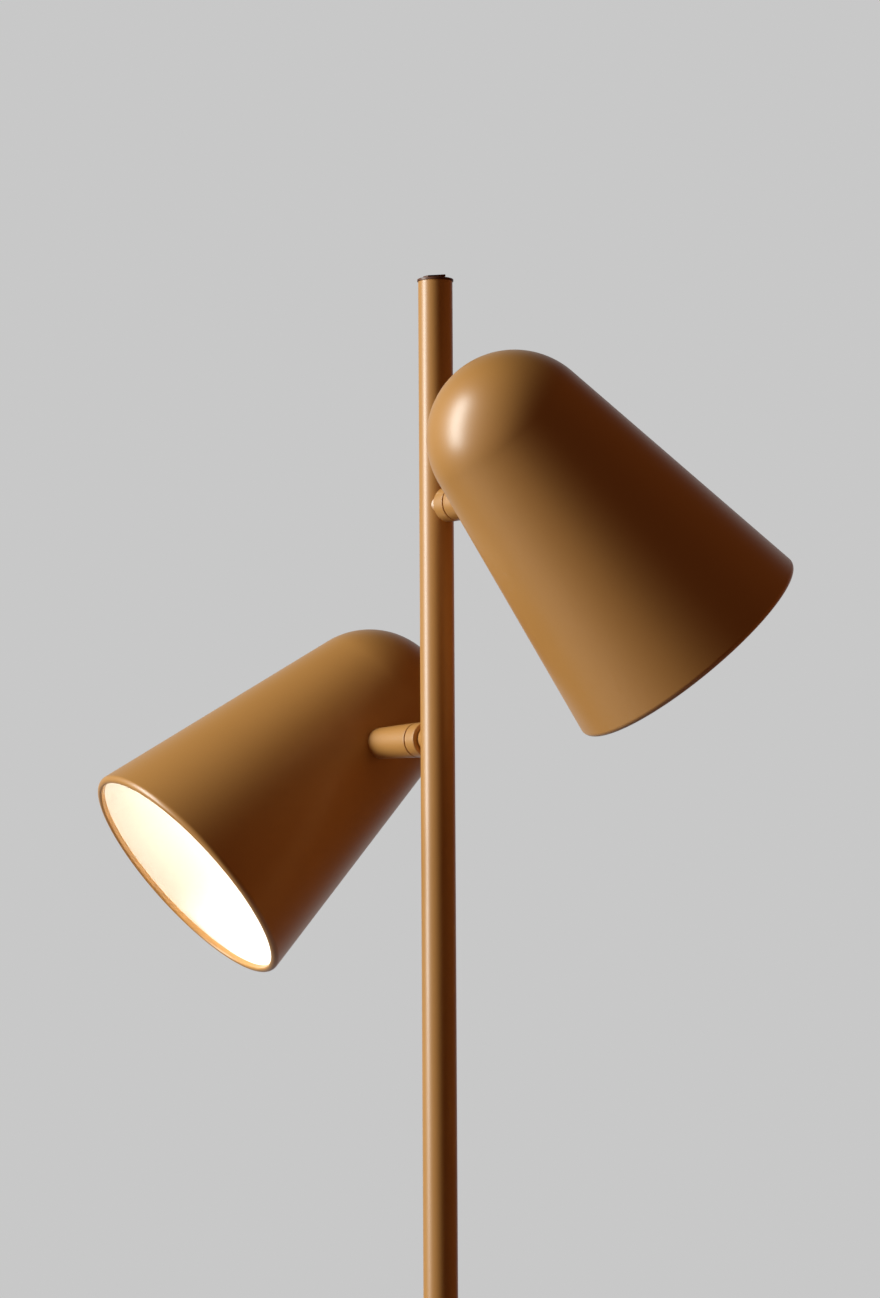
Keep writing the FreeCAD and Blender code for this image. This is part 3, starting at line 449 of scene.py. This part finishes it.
gland = {
    # bore, nose, flange and neck are radii; innerLip, neckEnd and shoulder are measured from the inner end
    "bore": 2.45, "nose": 3.8, "flange": 5.0, "neck": 3.5, "innerLip": 1.6, "neckEnd": 2.95, "shoulder": 4.4,
    "innerRound": 0.3, "seatRound": 0.2, "shoulderRound": 0.5, "noseRound": 0.4, "boreRound": 0.3,
    "roundSteps": 4, "segments": 48,
}


def makeGland():
    low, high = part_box("cord_gland")
    level = (low.z + high.z) / 2
    inside, outside = low.y / millimetre, high.y / millimetre
    lip, seat, shoulder = (inside + gland[name] for name in ("innerLip", "neckEnd", "shoulder"))
    bore, flange, neck = gland["bore"], gland["flange"], gland["neck"]
    profile = rounded([
        (bore, (inside + outside) / 2), (bore, inside), (flange, inside, gland["innerRound"]),
        (flange, lip), (neck, lip), (neck, seat), (flange, seat, gland["seatRound"]),
        (flange, shoulder, gland["shoulderRound"]), (gland["nose"], outside, gland["noseRound"]),
        (bore, outside, gland["boreRound"]), (bore, (inside + outside) / 2),
    ], gland["roundSteps"])
    piece = turnedPiece("cordGland", profile, at(z=level) @ alongY, "blackRubber", gland["segments"])
    return dressed(evenNormals(piece), "stand", "blackRubber", "cord_gland")


standPieces = [*makeBase(), *makePole(), makeGland()]
print("stand:", len(standPieces), "pieces")


# ---- switch in the top of the pole

switch = {
    "flangeRadius": 9.5, "flangeHeight": 1.2, "flangeEdge": 0.4, "bodyRadius": 7.45, "depth": 16.0,
    "slotLength": 10.6, "slotWidth": 5.2, "slotDepth": 7.5, "slotRound": 0.6, "slotFlare": 0.25,
    "rockerLength": 11.5, "rockerRoot": 9.0, "rockerWidth": 4.6, "rockerTilt": 8.0, "pivotDepth": 2.7,
    "keel": 4.0, "lift": 0.9, "crown": 2.15, "rockerEdge": 0.3, "footRound": 0.5, "seatRound": 0.1,
    "lidReach": 0.01, "lidLift": 0.02, "segments": 96,
}


def prism(name, outline, low, high, flare=0.0):
    # an outline (x, y) between two heights; a flare widens its topmost slice
    slices = [(low, 0.0), (high - flare, 0.0), (high, flare)] if flare else [(low, 0.0), (high, 0.0)]
    shape = bmesh.new()
    rings = []
    for level, grow in slices:
        rings.append([shape.verts.new((x + math.copysign(grow, x), y + math.copysign(grow, y), level))
                      for x, y in outline])
    for lower, upper in zip(rings, rings[1:]):
        for place in range(len(outline)):
            after = (place + 1) % len(outline)
            shape.faces.new((lower[place], lower[after], upper[after], upper[place]))
    shape.faces.new(rings[0])
    shape.faces.new(rings[-1])
    bmesh.ops.recalc_face_normals(shape, faces=shape.faces)
    mesh = bpy.data.meshes.new(name)
    shape.to_mesh(mesh)
    shape.free()
    return newObject(name, mesh)


def roundedOutline(length, width, corner, steps=4):
    outline = []
    for sideX, sideY, start in ((1, 1, 0.0), (-1, 1, 90.0), (-1, -1, 180.0), (1, -1, 270.0)):
        centre = (sideX * (length / 2 - corner), sideY * (width / 2 - corner))
        outline += arc(centre, corner, start, start + 90.0, steps)
    return outline


def cutBy(piece, tool):
    cut = piece.modifiers.new("Cut", "BOOLEAN")
    cut.operation = "DIFFERENCE"
    cut.solver = "EXACT"
    cut.object = tool
    applyModifiers(piece)
    bpy.data.objects.remove(tool)
    return piece


def bevelled(piece, width, steps=3, angle=30.0):
    bevel = piece.modifiers.new("Edges", "BEVEL")
    bevel.width = width * millimetre
    bevel.segments = steps
    bevel.limit_method = "ANGLE"
    bevel.angle_limit = math.radians(angle)
    bevel.harden_normals = True
    return piece


def shadeSmooth(piece):
    piece.data.polygons.foreach_set("use_smooth", [True] * len(piece.data.polygons))
    return piece


def makeSwitch():
    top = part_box("upper_pole")[1].z / millimetre
    foot, flange = top - switch["depth"], top + switch["flangeHeight"]
    housing = turnedPiece("switchHousing", rounded([
        (0.0, foot), (switch["bodyRadius"], foot, switch["footRound"]),
        (switch["bodyRadius"], top), (switch["flangeRadius"], top, switch["seatRound"]),
        (switch["flangeRadius"], flange, switch["flangeEdge"]), (0.0, flange),
    ]), at(), "darkPlastic", switch["segments"])
    slotShape = roundedOutline(switch["slotWidth"], switch["slotLength"], switch["slotRound"])
    tool = prism("slotTool", slotShape, flange - switch["slotDepth"], flange, switch["slotFlare"])
    lid = bmesh.new()
    lid.from_mesh(tool.data)
    for vertex in lid.verts:
        if vertex.co.z > flange - switch["lidReach"]:
            vertex.co.z += switch["lidLift"]    # the tool's lid stands just clear of the flange
    lid.to_mesh(tool.data)
    lid.free()
    tool.data.transform(Matrix.Scale(millimetre, 4))
    cutBy(housing, tool)
    dressed(evenNormals(housing), "stand", "darkPlastic", "switch_housing")

    root, end, width = switch["rockerRoot"] / 2, switch["rockerLength"] / 2, switch["rockerWidth"]
    underside = switch["pivotDepth"] + switch["lift"]
    crown = switch["pivotDepth"] + switch["crown"]
    outline = [(-root, -switch["keel"]), (root, -switch["keel"]), (root, underside), (end, underside),
               (end, crown), (-end, crown), (-end, underside), (-root, underside)]
    rocker = prism("switchRocker", outline, -width / 2, width / 2)
    level = (flange - switch["pivotDepth"]) * millimetre
    pivot = at(z=level) @ turnedAbout("X", switch["rockerTilt"])
    upright = turnedAbout("Z", 90.0) @ turnedAbout("X", 90.0)
    rocker.data.transform(pivot @ upright @ Matrix.Scale(millimetre, 4))
    rocker.data.materials.append(materials["darkPlastic"])
    bevelled(rocker, switch["rockerEdge"])
    applyModifiers(rocker)
    dressed(evenNormals(shadeSmooth(rocker)), "rocker", "darkPlastic", "switch_rocker")
    return [housing, rocker]


switchPieces = makeSwitch()
print("switch:", len(switchPieces), "pieces")


# ---- arms: saddle and hub on the pole, ring and arm that turn with the head

arm = {
    "radius": 9.15, "endRadius": 8.2, "length": 52.75, "pivot": 4.05, "bore": 6.7,
    "saddleRoot": 3.0, "saddleRadius": 7.7, "saddleTop": 6.4, "saddleRound": 0.1, "hubRear": 9.4,
    "hubFront": 17.3, "rearRound": 0.8, "chamfer": 0.5, "ringRear": 18.0, "ringFront": 20.2, "seam": 0.03,
    "shoulder": 23.2, "joinSteps": 3, "segments": 96,
}


def makeFixedArm(side, place):
    saddle = turnedPiece(side + "Saddle", rounded([
        (arm["pivot"], arm["saddleRoot"]), (arm["saddleRadius"], arm["saddleRoot"]),
        (arm["saddleTop"], arm["hubRear"], arm["saddleRound"]), (arm["pivot"], arm["hubRear"]),
        (arm["pivot"], arm["saddleRoot"]),
    ], arm["joinSteps"]), place @ alongX, "mustardLacquer")
    dressed(evenNormals(saddle), "stand", "mustardLacquer", side + "_saddle_washer")
    hub = turnedPiece(side + "Hub", rounded([
        (arm["pivot"], arm["hubRear"]), (arm["radius"], arm["hubRear"], arm["rearRound"]),
        (arm["radius"], arm["hubFront"], arm["chamfer"]), (arm["pivot"], arm["hubFront"]),
        (arm["pivot"], arm["hubRear"]),
    ]), place @ alongX, "mustardLacquer", arm["segments"])
    dressed(evenNormals(hub), "stand", "mustardLacquer", side + "_knuckle_hub")
    return [saddle, hub]


def makeTurningArm(side, body, place):
    ring = turnedPiece(side + "Ring", rounded([
        (arm["pivot"], arm["ringRear"]), (arm["radius"], arm["ringRear"], arm["chamfer"]),
        (arm["radius"], arm["ringFront"], arm["seam"]), (arm["pivot"], arm["ringFront"]),
        (arm["pivot"], arm["ringRear"]),
    ], arm["joinSteps"]), place @ alongX, "mustardLacquer", arm["segments"])
    dressed(evenNormals(ring), body, "mustardLacquer", side + "_swivel_ring")
    tube = turnedPiece(side + "Arm", rounded([
        (arm["pivot"], arm["ringFront"]), (arm["radius"], arm["ringFront"], arm["seam"]),
        (arm["endRadius"], arm["length"]), (arm["bore"], arm["length"]), (arm["bore"], arm["shoulder"]),
        (arm["pivot"], arm["shoulder"]), (arm["pivot"], arm["ringFront"]),
    ], arm["joinSteps"]), place @ alongX, "mustardLacquer", arm["segments"])
    dressed(evenNormals(tube), body, "mustardLacquer", side + "_swivel_arm")
    return [ring, tube]


# ---- heads: shade, reflector, lampholder and bulb, about the shade's own axis from its mouth

shade = {
    "mouth": 68.7, "length": 184.5, "angle": 9.7, "wall": 1.0, "armEntry": 118.5, "armLength": 51.9,
    "lipRadius": 2.6, "lipWidth": 4.2, "lipHeight": 3.4, "curlRound": 0.5, "lipSteps": 12, "curlSteps": 8,
    "domeSteps": 32, "coneSteps": 8, "segments": 160,
}


def makeShade(side, body, place):
    slope = math.radians(shade["angle"])
    cosine, sine, tangent = math.cos(slope), math.sin(slope), math.tan(slope)
    mouth, length, wall = shade["mouth"], shade["length"], shade["wall"]
    lip = shade["lipRadius"]
    lipCentre = mouth - lip * (tangent + 1 / cosine)
    lipBore = mouth - shade["lipWidth"]
    dome = (mouth - length * tangent) * cosine / (1 - sine)
    innerMouth = mouth - wall / cosine

    def wallPoints(start, low, high):
        # along the cone's wall, its ends left to the arcs
        steps = shade["coneSteps"]
        heights = [low + (high - low) * step / steps for step in range(1, steps)]
        return [(start - height * tangent, height) for height in heights]

    domeFoot, innerDome = length - dome + dome * sine, dome - wall
    innerFoot = length - dome + innerDome * sine
    profile = arc((lipCentre, lip), lip, -90.0, shade["angle"], shade["lipSteps"])
    profile += wallPoints(mouth, lip * (1 + sine), domeFoot)
    profile += arc((0.0, length - dome), dome, shade["angle"], 90.0, shade["domeSteps"])
    profile += arc((0.0, length - dome), innerDome, 90.0, shade["angle"], shade["domeSteps"])
    profile += wallPoints(innerMouth, innerFoot, shade["lipHeight"])
    curl = lipCentre - lipBore
    inner = rounded([(innerMouth - shade["lipHeight"] * tangent, shade["lipHeight"]),
                     (lipBore, shade["lipHeight"], shade["curlRound"]), (lipBore, curl)])
    profile += inner[:-1] + arc((lipCentre, curl), curl, 180.0, 270.0, shade["curlSteps"])
    piece = turnedPiece(side + "Shade", profile, place, "mustardLacquer", shade["segments"])
    return dressed(evenNormals(piece), body, "mustardLacquer", side + "_shade")


reflector = {
    "gap": 0.25, "wall": 0.8, "depth": 96.0, "hole": 13.1, "edge": 0.35, "lipRound": 0.2, "roofRound": 3.0,
    "segments": 128,
}


def makeReflector(side, body, place):
    slope = math.radians(shade["angle"])
    tangent = math.tan(slope)
    outer = shade["mouth"] - (shade["wall"] + reflector["gap"]) / math.cos(slope)
    inner = outer - reflector["wall"] / math.cos(slope)
    low, high, roof = shade["lipHeight"], reflector["depth"], reflector["depth"] - reflector["wall"]
    middle = (low + high) / 2
    profile = rounded([
        (inner - middle * tangent, middle), (inner - low * tangent, low, reflector["lipRound"]),
        (outer - low * tangent, low, reflector["lipRound"]), (outer - middle * tangent, middle),
        (outer - high * tangent, high, reflector["roofRound"]),
        (reflector["hole"], high, reflector["edge"]), (reflector["hole"], roof, reflector["edge"]),
        (inner - roof * tangent, roof, reflector["roofRound"] - reflector["wall"]),
        (inner - middle * tangent, middle),
    ])
    piece = turnedPiece(side + "Reflector", profile, place, "spunWhite", reflector["segments"])
    return dressed(evenNormals(piece), body, "spunWhite", side + "_reflector")


holder = {
    "front": 86.0, "shoulder": 97.0, "rear": 135.0, "skirt": 12.5, "radius": 14.0, "edge": 0.6,
    "bore": 7.3, "floor": 109.0, "nipple": 5.0, "nippleBore": 3.0, "nippleEnd": 147.0, "nippleFloor": 130.0,
    "mouthRound": 0.5, "rearRound": 1.2, "nippleRound": 0.4,
}


def makeLampholder(side, body, place):
    front, shoulder, rear, end = (holder[name] for name in ("front", "shoulder", "rear", "nippleEnd"))
    profile = rounded([
        (0.0, holder["floor"]), (holder["bore"], holder["floor"]),
        (holder["bore"], front, holder["mouthRound"]), (holder["skirt"], front, holder["edge"]),
        (holder["skirt"], shoulder), (holder["radius"], shoulder, holder["edge"]),
        (holder["radius"], rear, holder["rearRound"]), (holder["nipple"], rear),
        (holder["nipple"], end, holder["nippleRound"]), (holder["nippleBore"], end),
        (holder["nippleBore"], holder["nippleFloor"]), (0.0, holder["nippleFloor"]),
    ])
    piece = turnedPiece(side + "Lampholder", profile, place, "phenolic")
    return dressed(evenNormals(piece), body, "phenolic", side + "_lampholder")


bulb = {
    # the collar's waist is a point of its side (radius, station, rounding)
    "seat": 85.0, "joint": 68.0, "collarTop": 8.5, "collar": 19.0, "globe": 22.5, "wall": 1.2, "steps": 28,
    "waist": (14.2, 77.0, 12.0), "collarRound": 0.3, "seatRound": 0.8, "collarSteps": 6,
}


def makeBulb(side, body, place):
    drop = math.sqrt(bulb["globe"] ** 2 - bulb["collar"] ** 2)
    centre = (0.0, bulb["joint"] - drop)
    foot = math.degrees(math.asin(drop / bulb["globe"]))
    inside = bulb["globe"] - bulb["wall"]
    innerFoot = math.degrees(math.asin(drop / inside))
    profile = arc(centre, bulb["globe"], -90.0, foot, bulb["steps"])
    profile += arc(centre, inside, innerFoot, -90.0, bulb["steps"])
    globe = turnedPiece(side + "Globe", profile, place, "opalBulb")
    dressed(evenNormals(globe), body, "opalBulb", side + "_bulb_globe")
    profile = rounded([
        (0.0, bulb["joint"]), (bulb["collar"], bulb["joint"], bulb["collarRound"]), bulb["waist"],
        (bulb["collarTop"], bulb["seat"], bulb["seatRound"]), (0.0, bulb["seat"]),
    ], bulb["collarSteps"])
    collar = turnedPiece(side + "Collar", profile, place, "bulbPlastic")
    dressed(evenNormals(collar), body, "bulbPlastic", side + "_bulb_collar")
    return [globe, collar]


def makeHead(side, joint):
    # a head's frame hangs straight down from its hinge; at rest it stands half way between its stops
    level = joint["pos_m"][2]
    way = 0.0 if joint["axis"][0] > 0 else 180.0
    hang = -sum(joint["range_deg"]) / 2
    fixedPlace = at(z=level) @ turnedAbout("Z", way)
    headPlace = fixedPlace @ turnedAbout("X", hang)
    slope = math.radians(shade["angle"])
    mouthX = shade["armLength"] + shade["mouth"] * math.cos(slope)
    mouthZ = shade["mouth"] * math.sin(slope) - shade["armEntry"]
    mouthPlace = at(mouthX * millimetre, 0.0, mouthZ * millimetre)
    shadePlace = headPlace @ mouthPlace @ turnedAbout("Y", -shade["angle"])
    body = joint["child"]
    made = makeFixedArm(side, fixedPlace) + makeTurningArm(side, body, headPlace)
    made += [make(side, body, shadePlace) for make in (makeShade, makeReflector, makeLampholder)]
    made += makeBulb(side, body, shadePlace)
    print(f"{side} head: {len(made)} pieces")


for joint in frame["joints"]:
    if joint["child"].endswith("_head"):
        makeHead(joint["child"].split("_")[0], joint)


# ---- CAD nodes that keep their own shape

cadFinishes = {
    "castIron": ["base_weight"],
    "zincSteel": ["base_nut", "base_stud", "base_washer", "foot_insert", "pole_connector",
                  "pole_thread_insert", "pivot_nuts", "spring_washers", "stop_pins"],
    "turnedBrass": ["switch_terminals"],
    "darkPlastic": ["connector_block", "friction_washers"],
    "leadSheath": ["main_lead", "pole_leads"],
}
headFinishes = {
    "zincSteel": ["arm_block", "arm_nut", "arm_stud", "hollow_pivot", "holder_bracket", "holder_nut",
                  "seat_washer"],
    "capAluminium": ["bulb_cap"],
    "leadSheath": ["head_lead"],
}


def dressCadNodes():
    for side in ("upper", "lower"):
        for finish, parts in headFinishes.items():
            cadFinishes.setdefault(finish, []).extend(f"{side}_{part}" for part in parts)
    count = 0
    for finish, names in cadFinishes.items():
        for name in names:
            node = frame["nodes"][name]
            for place in range(len(node.data.materials)):
                node.data.materials[place] = materials[finish]
            if not node.data.materials:
                node.data.materials.append(materials[finish])
            count += 1
    return count


print("CAD nodes with a finish:", dressCadNodes())
bare = [name for name, node in frame["nodes"].items()
        if not node.hide_render and node.data.materials[0] not in materials.values()]
if bare:
    raise RuntimeError(f"these nodes have no finish of their own: {bare}")


# ---- floor, light and camera

studio = {
    # floorBounce is the floor's colour in the light that it throws back on the lamp; fill lights the lamp
    # from all round, and room is what it mirrors on the camera's side
    "grey": 0.578, "floorRadius": 3.0, "floorFade": 1.0, "floorDrop": 0.0004, "floorSegments": 128,
    "floorColour": (0.60, 0.60, 0.60), "floorBounce": (0.09, 0.05, 0.03),
    "fill": (0.092, 0.042, 0.022), "room": (0.006, 0.003, 0.002),
    "backDirection": (-0.807, 0.591, 0.0), "backdropStart": 0.5, "backdropFull": 1.1,
}


def makeFloor():
    shape = bmesh.new()
    bmesh.ops.create_circle(shape, cap_ends=True, segments=studio["floorSegments"],
                            radius=studio["floorRadius"])
    mesh = bpy.data.meshes.new("floor")
    shape.to_mesh(mesh)
    shape.free()
    mesh.transform(at(z=-studio["floorDrop"]))
    material, wire = newTree("floor")
    place = wire.node("ShaderNodeTexCoord", output="Object")
    away = wire.node("ShaderNodeVectorMath", {"operation": "LENGTH"}, {0: place}, "Value")
    fade = wire.node("ShaderNodeMapRange", {"interpolation_type": "SMOOTHSTEP"},
                     {"Value": away, "From Min": studio["floorFade"], "From Max": studio["floorRadius"]})
    rays = wire.node("ShaderNodeLightPath")
    seen = wire.maths("MAXIMUM", rays, wire.maths("MAXIMUM", rays.other("Is Glossy Ray"),
                                                  rays.other("Is Transmission Ray")))
    colour = mixColours(wire, seen, (*studio["floorBounce"], 1.0), (*studio["floorColour"], 1.0))
    lit = wire.node("ShaderNodeBsdfDiffuse", inputs={"Color": colour})
    clear = wire.node("ShaderNodeBsdfTransparent")
    # from below the floor is clear, so that the lamp can be seen through it
    below = wire.node("ShaderNodeNewGeometry", output="Backfacing")
    gone = wire.maths("MAXIMUM", fade, below)
    surface = wire.node("ShaderNodeMixShader", inputs={0: gone, 1: lit, 2: clear})
    wire.node("ShaderNodeOutputMaterial", inputs={"Surface": surface})
    mesh.materials.append(material)
    floor = newObject("floor", mesh)


def makeWorld():
    world = bpy.data.worlds.new("studio")
    bpy.context.scene.world = world
    world.use_nodes = True
    world.node_tree.nodes.clear()
    wire = Wire(world.node_tree)
    rays = wire.node("ShaderNodeLightPath")
    mirrored = wire.maths("MAXIMUM", rays.other("Is Glossy Ray"), rays.other("Is Transmission Ray"))
    grey = (studio["grey"],) * 3 + (1.0,)
    # the grey backdrop stands behind the lamp and fades to a dark room beside the camera
    way = wire.node("ShaderNodeTexCoord", output="Generated")
    behind = wire.node("ShaderNodeVectorMath", {"operation": "DOT_PRODUCT"},
                       {0: way, 1: studio["backDirection"]}, "Value")
    backdrop = wire.node("ShaderNodeMapRange", {"interpolation_type": "SMOOTHSTEP"},
                         {"Value": behind, "From Min": studio["backdropStart"],
                          "From Max": studio["backdropFull"]})
    room = mixColours(wire, backdrop, (*studio["room"], 1.0), grey)
    lighting = mixColours(wire, mirrored, (*studio["fill"], 1.0), room)
    shown = mixColours(wire, rays, lighting, grey)
    background = wire.node("ShaderNodeBackground", inputs={"Color": shown})
    wire.node("ShaderNodeOutputWorld", inputs={"Surface": background})


lampTarget = (0.0, 0.0, 1.3)
lamps = {
    # direction from the heads, as degrees to the left of the camera and above the horizon; sizes in metres
    "key": {"left": 81.0, "above": 17.0, "away": 2.6, "width": 0.8, "height": 2.3, "watts": 118.0,
            "colour": (0.95, 1.0, 0.98)},
    "warmth": {"left": 28.0, "above": -4.0, "away": 3.0, "width": 1.6, "height": 2.0, "watts": 4.0,
               "colour": (1.0, 0.42, 0.20)},
    "rim": {"left": -108.0, "above": 6.0, "away": 2.8, "width": 0.9, "height": 1.6, "watts": 14.0,
            "colour": (1.0, 0.46, 0.28), "mirrored": False},
}
view = {"around": 54.2, "away": 2.038, "belowTop": 0.3553, "yaw": -0.0294, "pitch": 2.642, "roll": -0.311,
        "sensor": 36.0, "lens": 108.68, "shift": 0.1009}


def makeLamps():
    for name, look in lamps.items():
        data = bpy.data.lights.new(name, "AREA")
        data.shape = "RECTANGLE"
        data.size = look["width"]
        data.size_y = look["height"]
        data.energy = look["watts"]
        data.color = look["colour"]
        lamp = newObject(name, data)
        lamp.visible_glossy = look.get("mirrored", True)
        turn = math.radians(view["around"] - look["left"])
        rise = math.radians(look["above"])
        across = Vector((math.sin(turn), -math.cos(turn), 0.0))
        way = across * math.cos(rise) + Vector((0.0, 0.0, math.sin(rise)))
        lamp.location = Vector(lampTarget) + way * look["away"]
        lamp.rotation_euler = (-way).to_track_quat("-Z", "Y").to_euler()


def makeCamera():
    data = bpy.data.cameras.new("camera")
    data.sensor_width = view["sensor"]
    data.lens = view["lens"]
    data.shift_y = view["shift"]
    camera = newObject("camera", data)
    turn = math.radians(view["around"])
    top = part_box("upper_pole")[1].z
    camera.location = (view["away"] * math.sin(turn), -view["away"] * math.cos(turn),
                       top - view["belowTop"])
    turned = (turnedAbout("Z", view["around"] + view["yaw"]) @ turnedAbout("X", 90.0 + view["pitch"])
              @ turnedAbout("Z", view["roll"]))
    camera.rotation_euler = turned.to_euler()
    bpy.context.scene.camera = camera


makeFloor()
makeWorld()
makeLamps()
makeCamera()
bpy.context.scene.view_settings.view_transform = "Standard"
print("studio ready")
